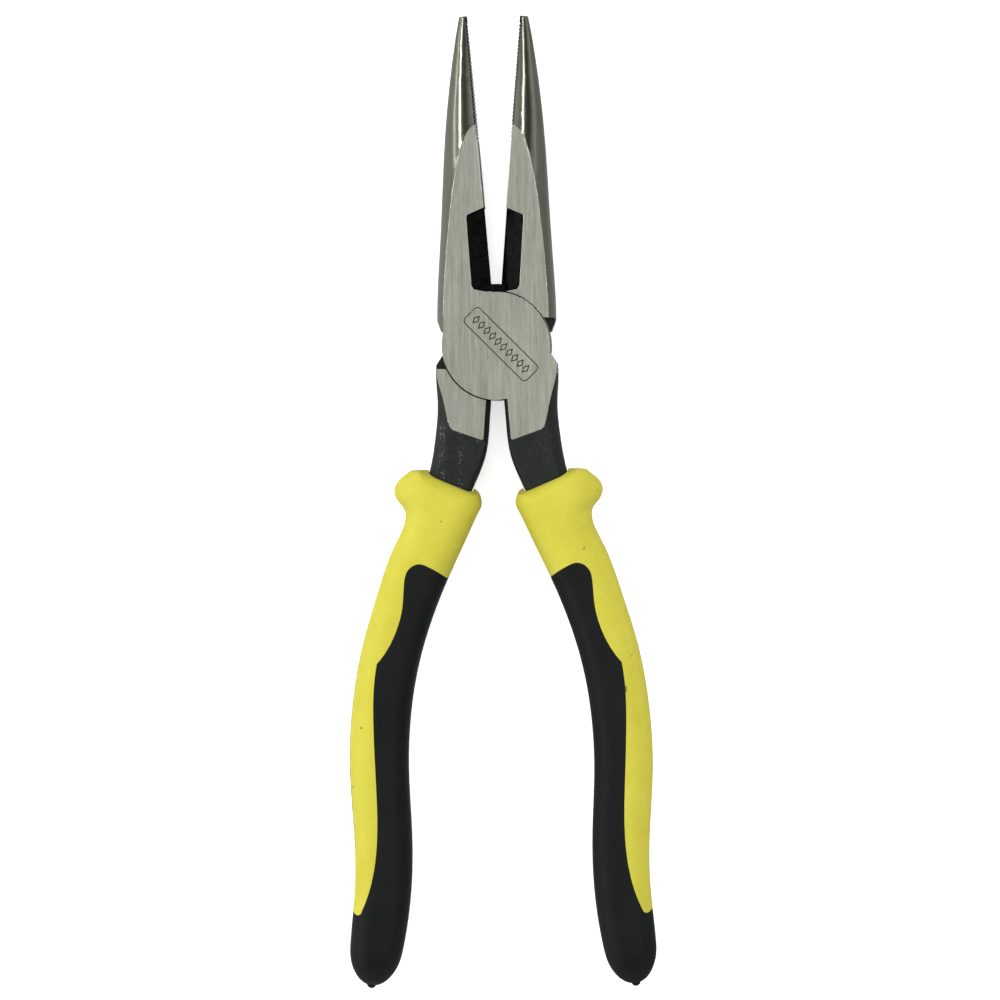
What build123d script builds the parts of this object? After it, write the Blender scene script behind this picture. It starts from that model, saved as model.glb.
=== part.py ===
"""Side-cutting needle nose pliers with two-material moulded grips.

The tool is two identical drop forgings, lapped and riveted, each with a moulded grip on its
tang. One forging, one grip core and one grip cover are drawn here for the closed tool, with the
rivet's axis on Z, the jaws towards +Y and the plane between the two halves at Z = 0. The drawn
forging is the front one: its jaw is on the left, its hub is above the middle plane and its
handle is on the right. Turned half a turn about Y, the same pieces make the back half.

At the end every piece is placed in the part's own frame, opened to the rest angle, with the
origin on the rivet's axis in the plane of the ground back faces. All lengths are millimetres.
"""

from math import sqrt
import os

from build123d import *

# Whole tool
rest_opening = 9.1  # degrees between the jaws' inner faces as the tool lies
head_thickness = 12.0  # across the ground flats
half_head = head_thickness / 2

# Lap joint
hub_radius = 12.3
joint_gap = 0.2  # around each hub, seen as a fine line
lap_gap = 0.03  # from the middle plane to each hub's inner face
hub_edge_break = 0.12

# Jaws
tip_y = 75.0
face_gap = 0.05  # from the closing plane to each jaw's inner face
jaw_corner = (-13.0, 7.0)  # where the jaw's outer side turns in to the joint
jaw_notch = (-12.1, 4.2)
tooth_pitch = 0.9
tooth_depth = 0.3
teeth_start_y = 47.0
tooth_count = 30

# Wire cutters, milled into both sides of each jaw
cutter_land = 0.6  # half the thickness left at the cutting edge
cutter_heel = (-4.15, 3.2)  # x and z where the cutter's slope meets its wall
throat_radius = 14.1
throat_height = 1.5

# Rivet
rivet_radius = 3.4
rivet_head_radius = 5.4
rivet_head_depth = 2.2
rivet_play = 0.04

# Necks, between the hub and the tang
neck_inner_x = 0.65
neck_bevel = ((0.62, 4.8), (1.45, 6.0))  # x and z, from the neck's inner side up to the flat
shoulder_notch = (12.0, -2.8)
shoulder_corner = (13.5, -5.5)
relief_floor = 2.5  # height above the middle plane of the unground corners beside the other hub

# Grips
cover_wall = 1.8
mouth_gap = 0.35
mouth_depth = 2.0
rim_middle = (8.45, -30.55)
rim_direction = (0.9497, 0.3131)
rim_roll_radius = 3.9
rim_roll_centre = (5.05, 5.1)  # from the middle plane, and down from the rim's ridge
butt_length = 9.5
nub_radius = 1.1

# Flush inlays along the back of the left grip
inlay_count = 11
inlay_pitch = 3.9
inlay_length = 2.3
inlay_width = 7.5
inlay_depth = 0.5
first_inlay_y = -75.0

# Engraved badge on the front hub and across the rivet: a frame round a row of open lozenges
badge_centre = (1.1, 0.26)
badge_angle = -50.0
badge_length = 20.0
badge_width = 5.0
badge_round = 1.1
badge_line = 0.24
badge_depth = 0.12
lozenge_count = 10
lozenge_width = 1.5
lozenge_height = 2.5
lozenge_pitch = 1.75

reach = 200.0  # longer than the tool, for cutting tools that run right through it


def jaw_rib(y, width, half_height):
    """A half-ellipse across the jaw, with its flat side on the jaw's inner face."""
    across = Plane(origin=(-face_gap, y, 0), x_dir=(1, 0, 0), z_dir=(0, 1, 0))
    with BuildSketch(across) as rib:
        Ellipse(width, half_height)
        split(bisect_by=Plane.YZ, keep=Keep.BOTTOM)
    return rib.sketch


def handle_rib(inner, outer, half_thickness, inner_round, outer_round, inset=0.0):
    """A rounded rectangle across a handle, from its inner edge to its outer edge."""
    inner_edge, outer_edge = Vector(*inner), Vector(*outer)
    across = outer_edge - inner_edge
    down = across.cross(Vector(0, 0, 1))
    width = across.length - 2 * inset
    height = 2 * (half_thickness - inset)
    largest_round = min(width, height) / 2 - 0.1
    with BuildSketch(Plane((inner_edge + outer_edge) * 0.5, across, down)) as rib:
        Rectangle(width, height)
        for side, radius in ((0, inner_round), (-1, outer_round)):
            corners = rib.vertices().group_by(Axis.X)[side]
            fillet(corners, min(max(radius - inset, 0.5), largest_round))
    return rib.sketch


def butt_ribs(inner, outer, half_thickness, round_radius, inset=0.0):
    """Handle ribs that shrink along an ellipse, to close the end of a grip."""
    inner_edge, outer_edge = Vector(*inner), Vector(*outer)
    middle = (inner_edge + outer_edge) * 0.5
    down = (outer_edge - inner_edge).cross(Vector(0, 0, 1)).normalized()
    length = butt_length - inset
    ribs = []
    for share in (0.0, 0.4, 0.65, 0.83, 0.94, 0.99):
        size = sqrt(1 - share**2)
        shift = down * (share * length)
        ribs.append(
            handle_rib(
                tuple(middle + (inner_edge - middle) * size + shift),
                tuple(middle + (outer_edge - middle) * size + shift),
                half_thickness * size + inset * (1 - size),
                round_radius * size,
                round_radius * size,
                inset * size,
            )
        )
    return ribs


# Inner edge, outer edge, half thickness, inner and outer corner radius of the forging's handle.
# Above the ground flats' height the handle is cut off flat, like the jaw.
tang_ribs = [
    ((neck_inner_x, 0.0), (13.6, 0.0), 11.0, 1.2, 4.0),
    ((neck_inner_x, -8.0), (13.2, -7.5), 8.6, 1.2, 4.0),
    ((neck_inner_x, -14.5), (12.5, -13.0), 6.9, 1.2, 4.0),
    ((neck_inner_x, -21.3), (12.3, -18.2), 6.05, 1.2, 4.0),
    ((1.0, -25.0), (12.45, -21.8), 5.5, 1.5, 3.8),
    ((3.2, -32.2), (13.1, -28.6), 5.0, 2.0, 3.5),
    ((6.2, -41.0), (15.2, -37.4), 4.6, 2.0, 3.0),
    ((12.0, -58.0), (19.6, -55.2), 4.0, 2.0, 2.5),
    ((16.3, -78.0), (23.0, -77.0), 3.5, 2.0, 2.0),
    ((16.8, -98.0), (22.6, -98.4), 3.2, 1.8, 1.8),
    ((15.0, -118.0), (20.0, -118.6), 3.0, 1.6, 1.6),
    ((15.4, -133.0), (19.6, -132.7), 2.8, 1.4, 1.4),
]

# The same, for the outside of the grip from its collar down to where its butt begins. The outer
# edge swells into the thumb guard on the way.
grip_ribs = [
    ((3.0, -32.45), (13.9, -28.95), 7.4, 4.0, 5.0),
    ((1.65, -33.8), (18.2, -30.0), 8.3, 5.0, 6.2),
    ((1.12, -35.6), (20.45, -32.4), 8.75, 5.5, 7.2),
    ((1.35, -36.9), (20.9, -34.5), 8.9, 5.5, 7.5),
    ((2.0, -38.4), (20.0, -36.4), 8.9, 5.5, 7.2),
    ((2.85, -40.7), (18.5, -38.0), 8.8, 5.5, 6.5),
    ((3.8, -43.3), (17.9, -39.8), 8.7, 5.5, 6.0),
    ((6.9, -51.5), (20.0, -46.8), 8.5, 5.4, 5.8),
    ((10.2, -61.5), (23.1, -57.9), 8.3, 5.2, 5.6),
    ((12.6, -72.0), (25.65, -69.8), 8.15, 5.2, 5.5),
    ((13.77, -84.0), (26.95, -83.5), 8.0, 5.2, 5.5),
    ((13.35, -97.5), (26.5, -98.4), 7.9, 5.2, 5.5),
    ((11.72, -111.0), (24.55, -112.5), 7.7, 5.2, 5.4),
    ((10.95, -124.0), (23.6, -124.4), 7.5, 5.2, 5.2),
]
butt_start = ((11.8, -137.2), (23.75, -136.4), 7.2, 5.2)
sleeve_ribs = grip_ribs[3:]  # the core runs up inside the collar, short of its mouth


# Jaw, from the joint to the tip: how far along, how wide and half how thick it is there. The
# thick end is cut down to the head's thickness, which leaves the ground flat with its arched end.
with BuildPart() as jaw:
    loft(
        sections=[
            jaw_rib(0.0, 13.3, 13.0),
            jaw_rib(7.0, 12.95, 12.5),
            jaw_rib(21.0, 11.2, 11.2),
            jaw_rib(36.0, 9.15, 8.65),
            jaw_rib(49.5, 7.25, 6.1),
            jaw_rib(61.0, 5.15, 4.2),
            jaw_rib(69.0, 3.4, 2.75),
            jaw_rib(tip_y, 1.85, 1.65),
        ]
    )
    with BuildSketch():
        with BuildLine():
            Polyline(
                (0, 0),
                (0, tip_y + 1),
                (jaw_corner[0] - 1, tip_y + 1),
                (jaw_corner[0] - 1, jaw_corner[1]),
                jaw_corner,
                jaw_notch,
                (0, 0),
            )
        make_face()
    extrude(amount=half_head, both=True, mode=Mode.INTERSECT)
    fillet(jaw.faces().sort_by(Axis.Y)[-1].edges(), 0.3)

with BuildPart() as handle:
    loft(sections=[handle_rib(*rib) for rib in tang_ribs])
    with BuildSketch():
        with BuildLine():
            Polyline(
                (0, 0),
                shoulder_notch,
                shoulder_corner,
                (30, shoulder_corner[1]),
                (30, -reach),
                (0, -reach),
                (0, 0),
            )
        make_face()
    extrude(amount=half_head, both=True, mode=Mode.INTERSECT)

# The neck's inner edges are bevelled down from the flats on both sides
with BuildPart() as neck_corner:
    (low_x, low_z), (top_x, top_z) = neck_bevel
    with BuildSketch(Plane.XZ.offset(8)):
        with BuildLine():
            Polyline(
                (low_x, low_z),
                (2 * top_x - low_x, 2 * top_z - low_z),
                (-1, 2 * top_z - low_z),
                (-1, low_z),
                close=True,
            )
        make_face()
    extrude(amount=20)
    mirror(about=Plane.XY)

with BuildPart() as hub:
    with BuildSketch(Plane.XY.offset(lap_gap)):
        Circle(hub_radius)
    extrude(amount=half_head - lap_gap)
    chamfer(hub.edges().sort_by(Axis.Z)[-1], hub_edge_break)

# The room for the other forging's hub, below the middle plane, and the unground corners beside it
with BuildPart() as hub_pocket:
    with BuildSketch(Plane.XY.offset(lap_gap)):
        Circle(hub_radius + joint_gap)
    extrude(amount=-half_head - 1)
    with BuildSketch(Plane.XY.offset(-relief_floor)):
        with BuildLine():
            Polyline((-9.5, 7.2), (-15, 7.2), (-15, 0), (-9.5, 0), close=True)
        make_face()
        with BuildLine():
            Polyline((9.5, -6.0), (15, -6.2), (15, 0), (9.5, 0), close=True)
        make_face()
    extrude(amount=-half_head)

# A milled hollow beside the cutting edge, sloping from its wall down to the edge. It is cut from
# both sides of the jaw.
with BuildPart() as cutter_hollow:
    with BuildSketch():
        with BuildLine():
            Polyline(
                (1, 31.75),
                (0, 31.4),
                (-3.95, 30.0),
                (cutter_heel[0], 29.3),
                (-4.35, 14.0),
                (-3.95, 13.15),
                (-1.1, 12.35),
                (1, 12.35),
                close=True,
            )
        make_face()
    extrude(amount=half_head + 1)
    with BuildSketch(Plane.XZ.offset(-reach)):
        with BuildLine():
            Polyline(
                (1, cutter_land),
                (-face_gap, cutter_land),
                cutter_heel,
                (-5, cutter_heel[1]),
                (-5, half_head + 1),
                (1, half_head + 1),
                close=True,
            )
        make_face()
    extrude(amount=2 * reach, mode=Mode.INTERSECT)
    mirror(about=Plane.XY)

# A low web across the throat, which closes the gap between the cutters above the hubs
with BuildPart() as throat_web:
    with BuildSketch(Plane.XY.offset(lap_gap)):
        Circle(throat_radius)
        with Locations((-0.6, throat_radius)):
            Rectangle(7.2, throat_radius, mode=Mode.INTERSECT)
    extrude(amount=throat_height - lap_gap)

with BuildPart() as web_pocket:
    with BuildSketch(Plane.XY.offset(lap_gap)):
        Circle(throat_radius + joint_gap)
        with Locations((-3, throat_radius)):
            Rectangle(10, throat_radius, mode=Mode.INTERSECT)
    extrude(amount=-throat_height - 2 * lap_gap)

# Grooves across the gripping end of the jaw's inner face
with BuildPart() as teeth:
    for tooth in range(tooth_count):
        y = teeth_start_y + tooth * tooth_pitch
        with BuildSketch():
            with BuildLine():
                Polyline(
                    (0.1, y - 0.45 * tooth_pitch),
                    (0.1, y + 0.45 * tooth_pitch),
                    (-face_gap - tooth_depth, y),
                    close=True,
                )
            make_face()
    extrude(amount=half_head + 1, both=True)

with BuildPart() as forging:
    add(jaw.part)
    add(handle.part)
    add(neck_corner.part, mode=Mode.SUBTRACT)
    add(hub.part)
    add(hub_pocket.part, mode=Mode.SUBTRACT)
    add(web_pocket.part, mode=Mode.SUBTRACT)
    add(cutter_hollow.part, mode=Mode.SUBTRACT)
    add(throat_web.part)
    add(teeth.part, mode=Mode.SUBTRACT)


def rivet_shape(play):
    """The rivet with its two countersunk heads, or with play the hole that it turns in."""
    with BuildPart() as shape:
        with BuildSketch(Plane.XZ):
            with BuildLine():
                Polyline(
                    (0, -half_head),
                    (rivet_head_radius + play, -half_head),
                    (rivet_radius + play, -half_head + rivet_head_depth),
                    (rivet_radius + play, half_head - rivet_head_depth),
                    (rivet_head_radius + play, half_head),
                    (0, half_head),
                    close=True,
                )
            make_face()
        revolve(axis=Axis.Z)
    return shape.part


# The collar's rim slopes down from its ridge in the middle plane and rolls over into the faces
with BuildPart() as rim_roll:
    across, down = rim_roll_centre
    slant = rim_roll_radius * sqrt(0.5)
    last = rim_roll_radius - 0.02
    foot = down - sqrt(rim_roll_radius**2 - last**2)
    with BuildSketch(Plane((*rim_middle, 0), (0, 0, 1), (*rim_direction, 0))):
        with BuildLine():
            roll = ThreePointArc(
                (across, down - rim_roll_radius),
                (across + slant, down - slant),
                (across + last, foot),
            )
            Polyline(roll @ 1, (12, foot), (12, -5), (0, -5), (0, 0), roll @ 0)
        make_face()
    extrude(amount=20, both=True)
    mirror(about=Plane.XY)

# The whole grip's outside, with the small moulding nub on its end
with BuildPart() as grip_body:
    loft(sections=[handle_rib(*rib) for rib in grip_ribs] + butt_ribs(*butt_start))
    add(rim_roll.part, mode=Mode.SUBTRACT)
    nub_place = grip_body.faces().sort_by(Axis.Y)[0].center()
    with Locations(nub_place + Vector(0, 0.35, 0)):
        Sphere(nub_radius)

# The zone of the grip where the black core comes to the surface, seen from the front
with BuildPart() as core_zone:
    with BuildSketch():
        with BuildLine():
            shoulder = Spline(
                (2.0, -56.4),
                (7.6, -53.0),
                (12.0, -50.75),
                (13.9, -50.35),
                (16.35, -52.0),
                (16.95, -54.8),
                (16.95, -60.0),
                (18.2, -66.5),
                (21.85, -73.5),
            )
            flank = Spline(
                shoulder @ 1,
                (22.15, -78.5),
                (21.75, -86.5),
                (20.0, -102.0),
                (19.05, -115.6),
                (20.1, -125.0),
                (21.5, -129.5),
            )
            tongue_end = ThreePointArc(flank @ 1, (22.3, -130.4), (23.3, -129.9))
            Polyline(tongue_end @ 1, (30, -127), (30, -reach), (0, -reach), shoulder @ 0)
        make_face()
    extrude(amount=half_head * 2, both=True)

with BuildPart() as sleeve:
    loft(
        sections=[handle_rib(*rib, inset=cover_wall) for rib in sleeve_ribs]
        + butt_ribs(*butt_start, inset=cover_wall)
    )

# The collar stands a little clear of the tang at its mouth
with BuildPart() as mouth:
    with BuildSketch(Plane((9, -31, 0), (1, 0.29, 0), (0.29, -1, 0)).offset(mouth_depth)):
        Rectangle(40, 40)
    extrude(amount=-20)
    loft(
        sections=[handle_rib(*rib, inset=-mouth_gap) for rib in tang_ribs[4:7]],
        mode=Mode.INTERSECT,
    )

with BuildPart() as core:
    add(grip_body.part)
    add(core_zone.part, mode=Mode.INTERSECT)
    add(sleeve.part)
    add(forging.part, mode=Mode.SUBTRACT)

with BuildPart() as cover:
    add(grip_body.part)
    add(core_zone.part, mode=Mode.SUBTRACT)
    add(sleeve.part, mode=Mode.SUBTRACT)
    add(forging.part, mode=Mode.SUBTRACT)
    add(mouth.part, mode=Mode.SUBTRACT)

# Bars let into the cover's back edge, flush with its surface
with BuildPart() as inlays:
    for bar in range(inlay_count):
        with Locations((30, first_inlay_y - bar * inlay_pitch, 0)):
            Box(20, inlay_length, inlay_width)
    add(grip_body.part, mode=Mode.INTERSECT)
    add(grip_body.part.moved(Location((-inlay_depth, 0, 0))), mode=Mode.SUBTRACT)


def lozenge(scale):
    """A diamond shape for the badge's row."""
    half_width, half_height = lozenge_width * scale / 2, lozenge_height * scale / 2
    with BuildSketch() as diamond:
        Polygon((-half_width, 0), (0, half_height), (half_width, 0), (0, -half_height))
    return diamond.sketch


with BuildPart() as badge:
    with BuildSketch(Plane.XY.offset(half_head)):
        with Locations(Location((*badge_centre, 0), (0, 0, badge_angle))):
            RectangleRounded(badge_length, badge_width, badge_round)
            RectangleRounded(
                badge_length - 2 * badge_line,
                badge_width - 2 * badge_line,
                badge_round - badge_line,
                mode=Mode.SUBTRACT,
            )
            with GridLocations(lozenge_pitch, 0, lozenge_count, 1):
                add(lozenge(1))
                add(lozenge(0.6), mode=Mode.SUBTRACT)
    extrude(amount=-badge_depth)

# Placed in the part's own frame
lift = Location((0, 0, half_head))
front_place = lift * Location((0, 0, 0), (0, 0, rest_opening / 2))
back_place = lift * Location((0, 0, 0), (0, 0, -rest_opening / 2)) * Location((0, 0, 0), (0, 180, 0))

with BuildPart() as front_lever:
    add(forging.part)
    add(rivet_shape(0), mode=Mode.SUBTRACT)
    add(badge.part, mode=Mode.SUBTRACT)

with BuildPart() as back_lever:
    add(forging.part)
    add(rivet_shape(rivet_play), mode=Mode.SUBTRACT)

with BuildPart() as pivot_rivet:
    add(rivet_shape(0))
    add(badge.part, mode=Mode.SUBTRACT)

with BuildPart() as left_cover:
    add(cover.part)
    add(inlays.part, mode=Mode.SUBTRACT)

pieces = {
    "front_lever": (front_lever.part, front_place),
    "back_lever": (back_lever.part, back_place),
    "pivot_rivet": (pivot_rivet.part, front_place),
    "right_grip_core": (core.part, front_place),
    "right_grip_cover": (cover.part, front_place),
    "left_grip_core": (core.part, back_place),
    "left_grip_cover": (left_cover.part, back_place),
    "left_grip_inlays": (inlays.part, back_place),
}

os.makedirs("parts", exist_ok=True)
for name, (piece, place) in pieces.items():
    placed = piece.moved(place)
    placed.label = name
    export_step(placed, f"parts/{name}.step")
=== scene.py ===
"""Long nose side-cutting pliers: finishes, grips, floor, studio light and camera."""

import bpy
from math import radians, sin, cos
from mathutils import Matrix, Vector


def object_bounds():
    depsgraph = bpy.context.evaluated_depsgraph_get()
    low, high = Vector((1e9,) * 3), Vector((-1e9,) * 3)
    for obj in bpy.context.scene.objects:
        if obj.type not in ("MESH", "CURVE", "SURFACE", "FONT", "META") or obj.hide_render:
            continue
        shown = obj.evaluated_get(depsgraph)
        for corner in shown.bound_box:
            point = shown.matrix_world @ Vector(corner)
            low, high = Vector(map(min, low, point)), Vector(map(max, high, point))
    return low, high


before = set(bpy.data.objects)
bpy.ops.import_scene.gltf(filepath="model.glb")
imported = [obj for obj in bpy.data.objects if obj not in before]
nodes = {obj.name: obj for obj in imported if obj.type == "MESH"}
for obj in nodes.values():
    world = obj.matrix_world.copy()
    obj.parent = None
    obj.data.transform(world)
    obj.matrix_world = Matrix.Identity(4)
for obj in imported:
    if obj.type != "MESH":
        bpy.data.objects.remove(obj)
cad_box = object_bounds()

half_opening = radians(4.55)  # how far each half is turned from closed as the tool lies
middle_plane = 6.0  # mm, the lap's plane above the ground back faces


# ---------------------------------------------------------------- building shader trees


class Tree:
    """Short names for adding nodes to a shader tree."""

    def __init__(self, tree):
        self.tree = tree

    def add(self, kind, **settings):
        node = self.tree.nodes.new(kind)
        for key, value in settings.items():
            setattr(node, key, value)
        return node

    def link(self, source, target):
        self.tree.links.new(source, target)

    def feed(self, socket, value):
        if isinstance(value, bpy.types.NodeSocket):
            self.link(value, socket)
        else:
            socket.default_value = value

    def math(self, operation, a, b=0.0, c=0.0, clamp=False):
        node = self.add("ShaderNodeMath", operation=operation, use_clamp=clamp)
        for socket, value in zip(node.inputs, (a, b, c)):
            self.feed(socket, value)
        return node.outputs[0]

    def above(self, value, limit, softness=0.02):
        """1 where value is over the limit, 0 where it is under, with a soft step between."""
        return self.ramp_range(value, limit - softness, limit + softness)

    def ramp_range(self, value, low, high, to_low=0.0, to_high=1.0):
        node = self.add("ShaderNodeMapRange", clamp=True)
        for socket, number in zip(node.inputs, (value, low, high, to_low, to_high)):
            self.feed(socket, number)
        return node.outputs[0]

    def all_of(self, *masks):
        result = masks[0]
        for mask in masks[1:]:
            result = self.math("MULTIPLY", result, mask)
        return result

    def invert(self, mask):
        return self.math("SUBTRACT", 1.0, mask)

    def mix(self, mask, a, b):
        """A colour between a and b."""
        node = self.add("ShaderNodeMix", data_type="RGBA")
        self.feed(node.inputs[0], mask)
        self.feed(node.inputs[6], a)
        self.feed(node.inputs[7], b)
        return node.outputs[2]

    def blend(self, mask, a, b):
        """A number between a and b."""
        node = self.add("ShaderNodeMix", data_type="FLOAT")
        self.feed(node.inputs[0], mask)
        self.feed(node.inputs[2], a)
        self.feed(node.inputs[3], b)
        return node.outputs[0]

    def stretch(self, vector, scale, turn=(0, 0, 0), shift=(0, 0, 0)):
        node = self.add("ShaderNodeMapping")
        self.feed(node.inputs["Vector"], vector)
        node.inputs["Location"].default_value = shift
        node.inputs["Rotation"].default_value = turn
        node.inputs["Scale"].default_value = scale
        return node.outputs[0]

    def noise(self, vector, scale, detail=2.0, rough=0.5):
        node = self.add("ShaderNodeTexNoise")
        self.feed(node.inputs["Vector"], vector)
        self.feed(node.inputs["Scale"], scale)
        node.inputs["Detail"].default_value = detail
        node.inputs["Roughness"].default_value = rough
        return node.outputs[0]

    def apart(self, vector):
        node = self.add("ShaderNodeSeparateXYZ")
        self.link(vector, node.inputs[0])
        return node.outputs

    def use(self, group, **values):
        node = self.add("ShaderNodeGroup", node_tree=group)
        for name, value in values.items():
            self.feed(node.inputs[name.replace("_", " ")], value)
        return node.outputs


def new_group(name, inputs, outputs, vectors=()):
    """A shader node group with number or vector inputs, and number and vector outputs."""
    tree = bpy.data.node_groups.new(name, "ShaderNodeTree")
    for label, start in inputs.items():
        kind = "NodeSocketVector" if start is None else "NodeSocketFloat"
        socket = tree.interface.new_socket(name=label, in_out="INPUT", socket_type=kind)
        if start is not None:
            socket.default_value = start
    for label in outputs:
        tree.interface.new_socket(name=label, in_out="OUTPUT", socket_type="NodeSocketFloat")
    for label in vectors:
        tree.interface.new_socket(name=label, in_out="OUTPUT", socket_type="NodeSocketVector")
    t = Tree(tree)
    return tree, t, t.add("NodeGroupInput").outputs, t.add("NodeGroupOutput").inputs


def brushed_group():
    """Grinding lines along Y: a tone and a height from long thin streaks, mm in."""
    tree, t, given, made = new_group(
        "Brushed lines", {"Position": None, "Lines per mm": 3.0, "Length": 6.0}, ("Tone", "Height")
    )
    x, y, z = t.apart(given["Position"])
    along = t.math("DIVIDE", y, given["Length"])
    across = t.math("MULTIPLY", x, given["Lines per mm"])
    place = t.add("ShaderNodeCombineXYZ")
    t.link(across, place.inputs[0])
    t.link(along, place.inputs[1])
    t.link(z, place.inputs[2])
    broad = t.noise(place.outputs[0], 0.45, 3.0, 0.6)
    fine = t.noise(place.outputs[0], 2.2, 4.0, 0.7)
    t.link(t.blend(0.55, broad, fine), made["Tone"])
    t.link(fine, made["Height"])
    return tree


def grain_group():
    """A moulded leather-like grain of small rounded bumps, and a slow unevenness of tone."""
    tree, t, given, made = new_group(
        "Moulded grain", {"Position": None, "Bumps per mm": 2.5}, ("Tone", "Height", "Specks")
    )
    cells = t.add("ShaderNodeTexVoronoi", feature="SMOOTH_F1")
    t.link(given["Position"], cells.inputs["Vector"])
    t.link(given["Bumps per mm"], cells.inputs["Scale"])
    fine = t.noise(given["Position"], t.math("MULTIPLY", given["Bumps per mm"], 2.0), 3.0, 0.6)
    t.link(t.blend(0.5, t.invert(cells.outputs["Distance"]), fine), made["Height"])
    slow = t.noise(given["Position"], 0.09, 3.0, 0.6)
    t.link(t.blend(0.35, slow, t.noise(given["Position"], 0.55, 4.0, 0.6)), made["Tone"])
    dots = t.noise(given["Position"], 0.75, 0.0)
    t.link(t.ramp_range(dots, 0.835, 0.86), made["Specks"])
    return tree


def edges_group():
    """Edge is 1 on an edge and 0 a little way off, the mask of a painted edge highlight; Rounded
    is the normal, rounded over edges.
    """
    tree, t, given, made = new_group(
        "Broken edges", {"Radius": 0.0002, "Amount": 1.0, "Smooth": 1.0}, ("Edge",), ("Rounded",)
    )
    bevel = t.add("ShaderNodeBevel", samples=10)
    t.link(given["Radius"], bevel.inputs["Radius"])
    true_normal = t.add("ShaderNodeNewGeometry").outputs["Normal"]
    likeness = t.add("ShaderNodeVectorMath", operation="DOT_PRODUCT")
    t.link(bevel.outputs[0], likeness.inputs[0])
    t.link(true_normal, likeness.inputs[1])
    edge = t.ramp_range(likeness.outputs["Value"], 0.99, 0.92)
    t.link(t.math("MULTIPLY", edge, given["Amount"]), made["Edge"])
    rounded = t.add("ShaderNodeMix", data_type="VECTOR")
    t.link(given["Smooth"], rounded.inputs[0])
    t.link(true_normal, rounded.inputs[4])
    t.link(bevel.outputs[0], rounded.inputs[5])
    t.link(rounded.outputs[1], made["Rounded"])
    return tree


glint_lines = ((-12.5, 0.9), (-8.2, 0.8))  # mm across the tool, and half how wide, where the chips and painted glints gather


def chip_glint_group():
    """Small bright specks in a dark skin, partly knocks and partly painted glints off its rough
    grain: thick along two lines, and a few elsewhere.
    """
    tree, t, given, made = new_group("Chips and painted glints", {"Position": None, "Amount": 1.0}, ("Chips and painted glints",))
    dots = t.add("ShaderNodeTexVoronoi", feature="F1")
    t.link(t.stretch(given["Position"], (1.0, 0.55, 1.0)), dots.inputs["Vector"])
    dots.inputs["Scale"].default_value = 2.3
    spots = t.ramp_range(dots.outputs["Distance"], 0.5, 0.2)
    ragged = t.ramp_range(t.noise(given["Position"], 2.2, 3.0, 0.65), 0.47, 0.62)
    x, y, _ = t.apart(given["Position"])
    on_lines = 0.0
    for line, width in glint_lines:
        off = t.math("ABSOLUTE", t.math("SUBTRACT", x, line))
        on_lines = t.math("MAXIMUM", t.ramp_range(off, width, width * 0.4), on_lines)
    patches = t.ramp_range(t.noise(t.stretch(given["Position"], (0.3, 1, 1)), 0.35, 1.0), 0.4, 0.5)
    few = t.ramp_range(t.noise(given["Position"], 0.3, 1.0), 0.57, 0.66, 0.0, 0.3)
    cluster = t.math("MAXIMUM", t.math("MULTIPLY", on_lines, patches), few)
    tang = t.invert(t.above(y, -17.0, 1.5))  # none above the tang
    t.link(t.all_of(spots, ragged, cluster, tang, given["Amount"]), made["Chips and painted glints"])
    return tree


# The forging's zones, in the closed tool's millimetres: Z is up from the lap's plane, and the
# forging's own jaw is at -X.
flat_height = 5.985  # just under the ground flats
engraving_floor = 5.84
engraving_reach = 11.4  # from the rivet's axis
hollow_left, hollow_right = -4.6, 3.4
hollow_bottom, hollow_top = 11.0, 31.7
hub_reach = 12.1
oxide_top = -7.2  # the handle is black from here down
corner_reach, corner_top, corner_side = 15.2, 7.22, -2.4  # the unground corner beside the hub
inner_face = -0.45
jaw_bottom = 8.0
arch_top = 47.0  # a little below the end of the ground flat
widening = 30.0, 44.0  # where the rounded edge grows towards the arch


def zones_group():
    """Where the forging is ground flat, cut hollow, black, engraved or milled, and its jaw."""
    tree, t, given, made = new_group(
        "Forging zones",
        {"Position": None, "Upward": 0.0, "Ragged": 0.0},
        ("Flat", "Hollow", "Oxide", "Engraved", "Milled", "Painted highlight edge", "Jaw", "Towards tip"),
    )
    x, y, z = t.apart(given["Position"])
    height = t.math("ABSOLUTE", z)
    reach = t.math("SQRT", t.math("ADD", t.math("MULTIPLY", x, x), t.math("MULTIPLY", y, y)))
    outside = t.above(height, flat_height, 0.003)
    flat = t.all_of(outside, t.above(given["Upward"], 0.9))
    below = t.invert(outside)
    hollow = t.all_of(
        below,
        t.above(x, hollow_left),
        t.invert(t.above(x, hollow_right)),
        t.above(reach, hub_reach),
        t.above(y, hollow_bottom),
        t.invert(t.above(y, hollow_top)),
    )
    engraved = t.all_of(
        below, t.above(height, engraving_floor), t.invert(t.above(reach, engraving_reach))
    )
    ragged_y = t.math("ADD", y, given["Ragged"])
    handle = t.all_of(below, t.invert(t.above(ragged_y, oxide_top, 0.2)), t.above(x, 0.0))
    corner = t.all_of(
        below,
        t.invert(t.above(z, corner_side)),
        t.invert(t.above(reach, corner_reach)),
        t.invert(t.above(y, corner_top)),
    )
    milled = t.all_of(below, t.above(x, inner_face), t.above(y, hollow_top))
    jaw = t.above(y, jaw_bottom)
    t.link(flat, made["Flat"])
    t.link(hollow, made["Hollow"])
    t.link(t.math("MAXIMUM", handle, corner), made["Oxide"])
    t.link(engraved, made["Engraved"])
    t.link(milled, made["Milled"])
    t.link(jaw, made["Jaw"])
    # where the painted highlight goes: the jaw's edges below the arch
    t.link(t.all_of(jaw, t.invert(t.above(y, arch_top))), made["Painted highlight edge"])
    t.link(t.ramp_range(y, *widening), made["Towards tip"])
    return tree


brushed = brushed_group()
grain = grain_group()
zones = zones_group()
edges = edges_group()
chip_glints = chip_glint_group()


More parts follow.
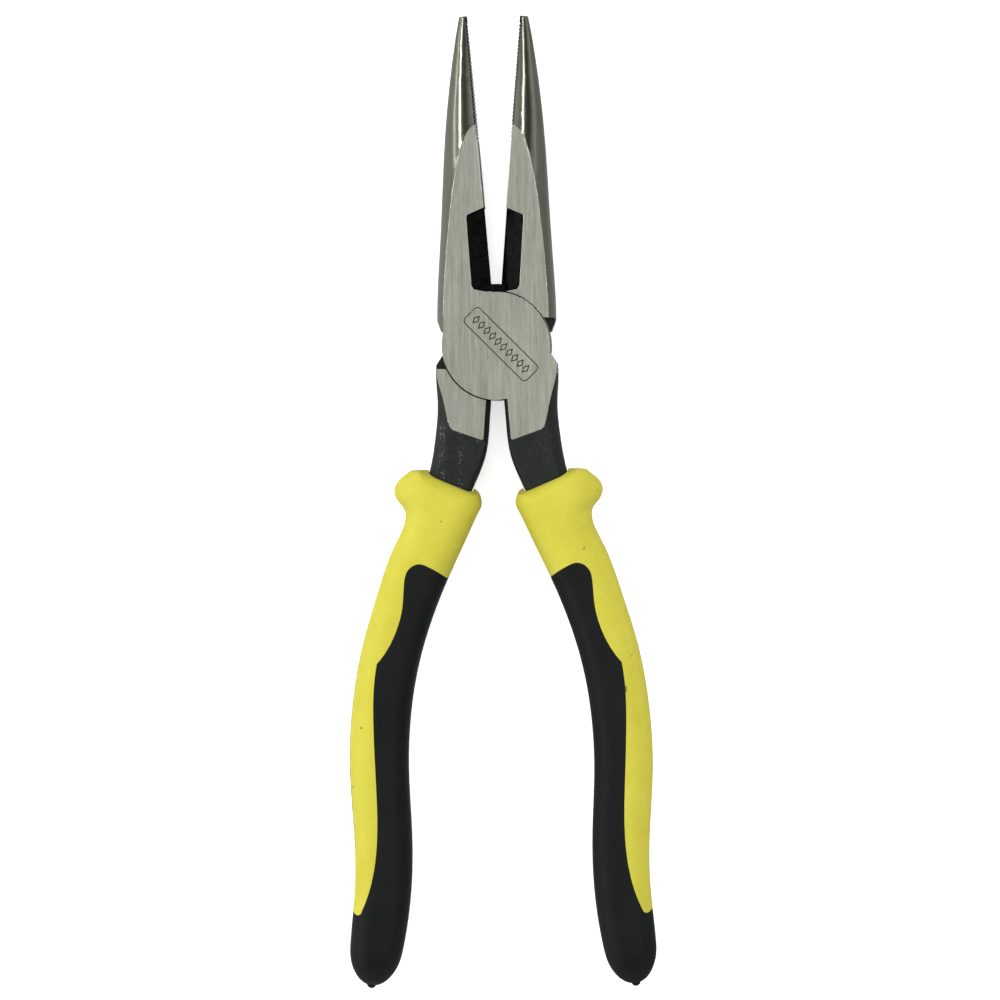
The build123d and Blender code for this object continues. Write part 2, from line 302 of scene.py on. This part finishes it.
def new_material(name):
    material = bpy.data.materials.new(name)
    material.use_nodes = True
    t = Tree(material.node_tree)
    material.node_tree.nodes.clear()
    shader = t.add("ShaderNodeBsdfPrincipled")
    t.link(shader.outputs[0], t.add("ShaderNodeOutputMaterial").inputs[0])
    place = t.add("ShaderNodeTexCoord").outputs["Object"]
    return material, t, shader, place


def finish(t, shader, height, depth, base=None):
    """Bumps from a height field, depth in millimetres."""
    bump = t.add("ShaderNodeBump")
    if base:
        t.link(base, bump.inputs["Normal"])
    bump.inputs["Strength"].default_value = 1.0
    bump.inputs["Distance"].default_value = depth / 1000
    t.feed(bump.inputs["Height"], height)
    t.link(bump.outputs[0], shader.inputs["Normal"])


flat_tones = (0.325, 0.33, 0.272, 1), (0.525, 0.535, 0.45, 1)
stained_flat = (0.4, 0.425, 0.4, 1)
satin_tones = (0.205, 0.205, 0.158, 1), (0.28, 0.281, 0.228, 1)
oxide_tones = (0.0072, 0.01, 0.0088, 1), (0.0145, 0.0185, 0.0168, 1)
hollow_tones = (0.006, 0.007, 0.006, 1), (0.017, 0.019, 0.017, 1)
# the bright specks' colour: partly knocks, partly painted glints
chip_glint_tone = (0.24, 0.25, 0.24, 1)
milled_tone = (0.022, 0.021, 0.018, 1)
# the colour of the painted highlight along the jaw's edges
edge_highlight_tone = (0.75, 0.75, 0.68, 1)
engraved_tone = (0.045, 0.034, 0.022, 1)
edge_radius, arch_edge_radius = 0.0002, 0.0006  # m


def steel(name, turned, chip_glint_amount):
    """Forged steel: brushed flats, satin nose, black oxide handle and cutter hollows."""
    material, t, shader, place = new_material(name)
    side = -1 if turned else 1
    lifted = t.stretch(place, (1, 1, 1), shift=(0, 0, -middle_plane / 1000))
    closed = t.stretch(lifted, (1000 * side, 1000, 1000 * side), turn=(0, 0, -half_opening))
    tool = t.stretch(place, (1000, 1000, 1000))
    up = t.math("ABSOLUTE", t.apart(t.add("ShaderNodeNewGeometry").outputs["Normal"])[2])
    ragged = t.ramp_range(t.noise(closed, 0.8, 3.0, 0.6), 0.3, 0.7, -0.35, 0.35)
    zone = t.use(zones, Position=closed, Upward=up, Ragged=ragged)
    lines = t.use(brushed, Position=tool, Lines_per_mm=3.0, Length=7.0)
    radius = t.ramp_range(zone["Towards tip"], 0.0, 1.0, edge_radius, arch_edge_radius)
    edge = t.use(edges, Radius=radius, Amount=zone["Painted highlight edge"], Smooth=zone["Jaw"])
    skin = t.noise(tool, 0.9, 5.0, 0.65)  # the forging's own skin
    stain = t.noise(tool, 0.12, 4.0, 0.6)
    chip_glint = t.use(chip_glints, Position=tool, Amount=chip_glint_amount)["Chips and painted glints"]

    ground = t.mix(t.ramp_range(lines["Tone"], 0.36, 0.64), *flat_tones)
    ground = t.mix(t.ramp_range(stain, 0.45, 0.75, 0.0, 0.35), ground, stained_flat)
    satin = t.mix(t.ramp_range(lines["Tone"], 0.35, 0.65), *satin_tones)
    oxide = t.mix(t.ramp_range(skin, 0.35, 0.7), *oxide_tones)
    # painted glints and chips: bright specks on the black skin, thickest along the tang's edges
    oxide = t.mix(chip_glint, oxide, chip_glint_tone)
    hollow = t.mix(t.ramp_range(skin, 0.35, 0.65), *hollow_tones)
    colour = t.mix(zone["Flat"], satin, ground)
    colour = t.mix(zone["Milled"], colour, milled_tone)
    # painted highlight: the jaw's edges made bright in colour, for the light that their rounding
    # catches
    colour = t.mix(t.all_of(edge["Edge"], t.invert(zone["Oxide"])), colour, edge_highlight_tone)
    colour = t.mix(zone["Oxide"], colour, oxide)
    colour = t.mix(zone["Hollow"], colour, hollow)
    colour = t.mix(zone["Engraved"], colour, engraved_tone)
    t.link(colour, shader.inputs["Base Color"])

    skinned = t.math("MAXIMUM", zone["Oxide"], zone["Engraved"])
    dark = t.math("MAXIMUM", skinned, zone["Hollow"])
    t.link(t.ramp_range(skinned, 0.0, 1.0, 1.0, 0.05), shader.inputs["Metallic"])
    rough = t.blend(zone["Flat"], 0.16, t.ramp_range(lines["Tone"], 0.3, 0.7, 0.46, 0.36))
    rough = t.blend(dark, rough, t.ramp_range(skin, 0.3, 0.7, 0.42, 0.6))
    t.link(rough, shader.inputs["Roughness"])
    shader.inputs["Specular IOR Level"].default_value = 0.25
    relief = t.math("MULTIPLY", lines["Height"], t.blend(zone["Flat"], 0.02, 0.35))
    relief = t.blend(dark, relief, skin)
    finish(t, shader, relief, 0.05, base=edge["Rounded"])
    return material


def moulded(name, light_tone, dark_tone, rough, depth, gloss, speck=None):
    """A moulded grip material with a fine grain depth mm deep and an uneven tone."""
    material, t, shader, place = new_material(name)
    tool = t.stretch(place, (1000, 1000, 1000))
    skin = t.use(grain, Position=tool, Bumps_per_mm=2.5)
    colour = t.mix(t.ramp_range(skin["Tone"], 0.3, 0.7), light_tone, dark_tone)
    if speck:
        colour = t.mix(skin["Specks"], colour, speck)
    t.link(colour, shader.inputs["Base Color"])
    roughness = t.ramp_range(skin["Height"], 0.2, 0.8, rough + 0.06, rough - 0.06)
    t.link(roughness, shader.inputs["Roughness"])
    shader.inputs["Specular IOR Level"].default_value = gloss
    finish(t, shader, skin["Height"], depth)
    return material


front_steel = steel("Forged steel front half", turned=False, chip_glint_amount=0.4)
back_steel = steel("Forged steel back half", turned=True, chip_glint_amount=1.0)
yellow = moulded(
    "Soft yellow cover",
    light_tone=(0.6, 0.566, 0.068, 1),
    dark_tone=(0.548, 0.49, 0.042, 1),
    rough=0.62,
    depth=0.03,
    gloss=0.2,
    speck=(0.25, 0.2, 0.03, 1),
)
black = moulded(
    "Hard black core",
    light_tone=(0.0055, 0.0068, 0.0062, 1),
    dark_tone=(0.0085, 0.0102, 0.0094, 1),
    rough=0.56,
    depth=0.02,
    gloss=0.12,
)
ink = moulded(
    "Black inlay",
    light_tone=(0.006, 0.006, 0.006, 1),
    dark_tone=(0.01, 0.01, 0.01, 1),
    rough=0.5,
    depth=0.02,
    gloss=0.15,
)

finishes = {
    "front_lever": front_steel,
    "back_lever": back_steel,
    "pivot_rivet": front_steel,
    "right_grip_core": black,
    "left_grip_core": black,
    "right_grip_cover": yellow,
    "left_grip_cover": yellow,
    "left_grip_inlays": ink,
}
for name, material in finishes.items():
    nodes[name].data.materials.clear()
    nodes[name].data.materials.append(material)


# ---------------------------------------------------------------- floor, light and camera

floor_height = cad_box[0][2] - 0.0001
centre = Vector((0.0003, -0.0348, middle_plane / 1000))  # what the camera and the lamps point at


def floor():
    """A pale paper floor, white to the camera and greyer in the steel's reflections."""
    mesh = bpy.data.meshes.new("floor")
    z = floor_height
    corners = [(-3, -3, z), (3, -3, z), (3, 3, z), (-3, 3, z)]
    mesh.from_pydata(corners, [], [(0, 1, 2, 3)])
    floor = bpy.data.objects.new("floor", mesh)
    bpy.context.scene.collection.objects.link(floor)
    material, t, shader, place = new_material("Pale paper floor")
    shade = t.mix(t.noise(place, 40.0, 3.0), (0.93, 0.93, 0.93, 1), (0.97, 0.97, 0.97, 1))
    ray = t.add("ShaderNodeLightPath").outputs
    across = t.ramp_range(t.apart(place)[0], -0.03, 0.03)
    mirrored = t.mix(across, (0.5, 0.5, 0.5, 1), (0.34, 0.34, 0.34, 1))
    t.link(t.mix(ray["Is Glossy Ray"], shade, mirrored), shader.inputs["Base Color"])
    shader.inputs["Emission Color"].default_value = (1, 1, 1, 1)
    t.link(t.math("MULTIPLY", ray["Is Camera Ray"], 0.6), shader.inputs["Emission Strength"])
    shader.inputs["Roughness"].default_value = 0.8
    mesh.materials.append(material)


def lamp(name, tilt, turn, distance, size, power, glossy=True):
    """A soft box tilt degrees from straight up, on the side that turn degrees from +X gives.

    Its second size runs along the tool's length. Distance and size are in metres.
    """
    data = bpy.data.lights.new(name, "AREA")
    data.shape = "RECTANGLE"
    data.size, data.size_y = size
    data.energy = power
    light = bpy.data.objects.new(name, data)
    light.visible_glossy = glossy
    tilt, turn = radians(tilt), radians(turn)
    back = Vector((sin(tilt) * cos(turn), sin(tilt) * sin(turn), cos(tilt)))
    right = Vector((0, 1, 0)).cross(back).normalized()
    axes = Matrix((right, back.cross(right), back)).transposed().to_4x4()
    light.matrix_world = Matrix.Translation(centre + back * distance) @ axes
    bpy.context.scene.collection.objects.link(light)


def camera(tilt, roll, distance, view_width):
    """Straight above, leaning tilt degrees towards +X and turned roll degrees on its axis."""
    data = bpy.data.cameras.new("camera")
    data.sensor_width = 36.0
    data.lens = 36.0 * distance / view_width
    data.clip_end = 20.0
    view = bpy.data.objects.new("camera", data)
    back = Vector((sin(radians(tilt)), 0, cos(radians(tilt))))
    up = Vector((sin(radians(roll)), cos(radians(roll)), 0))
    right = up.cross(back).normalized()
    up = back.cross(right)
    turn = Matrix((right, up, back)).transposed().to_4x4()
    view.matrix_world = Matrix.Translation(centre + back * distance) @ turn
    bpy.context.scene.collection.objects.link(view)
    bpy.context.scene.camera = view


floor()
lamp("left strip", 59, 180, 1.2, (0.06, 1.8), 7.2)
lamp("left low strip", 82, 180, 1.2, (0.1, 1.8), 1.2)
lamp("right strip", 37, 0, 1.2, (0.05, 1.8), 5.0)
lamp("soft fill", 20, 105, 1.6, (1.0, 1.0), 12, glossy=False)
camera(2.0, 0.6, 2.0, 0.2263)


def sky():
    """A studio dome: a soft panel overhead, a dark band round it and a pale horizon."""
    world = bpy.data.worlds.new("studio")
    world.use_nodes = True
    t = Tree(world.node_tree)
    side, _, height = t.apart(t.add("ShaderNodeTexCoord").outputs["Generated"])
    ramp = t.add("ShaderNodeValToRGB")
    t.link(height, ramp.inputs[0])
    stops = ((0.0, 1.0), (0.26, 0.75), (0.47, 0.1), (0.8, 0.1), (0.93, 0.65), (1.0, 0.75))
    points = ramp.color_ramp.elements
    for index, (place, level) in enumerate(stops):
        point = points[index] if index < 2 else points.new(place)
        point.position = place
        point.color = (level, level, level, 1)
    background = world.node_tree.nodes["Background"]
    t.link(ramp.outputs[0], background.inputs[0])
    t.link(t.ramp_range(side, 0.5, 0.9, 1.25, 0.85), background.inputs[1])
    bpy.context.scene.world = world


sky()
bpy.context.scene.view_settings.view_transform = "Standard"
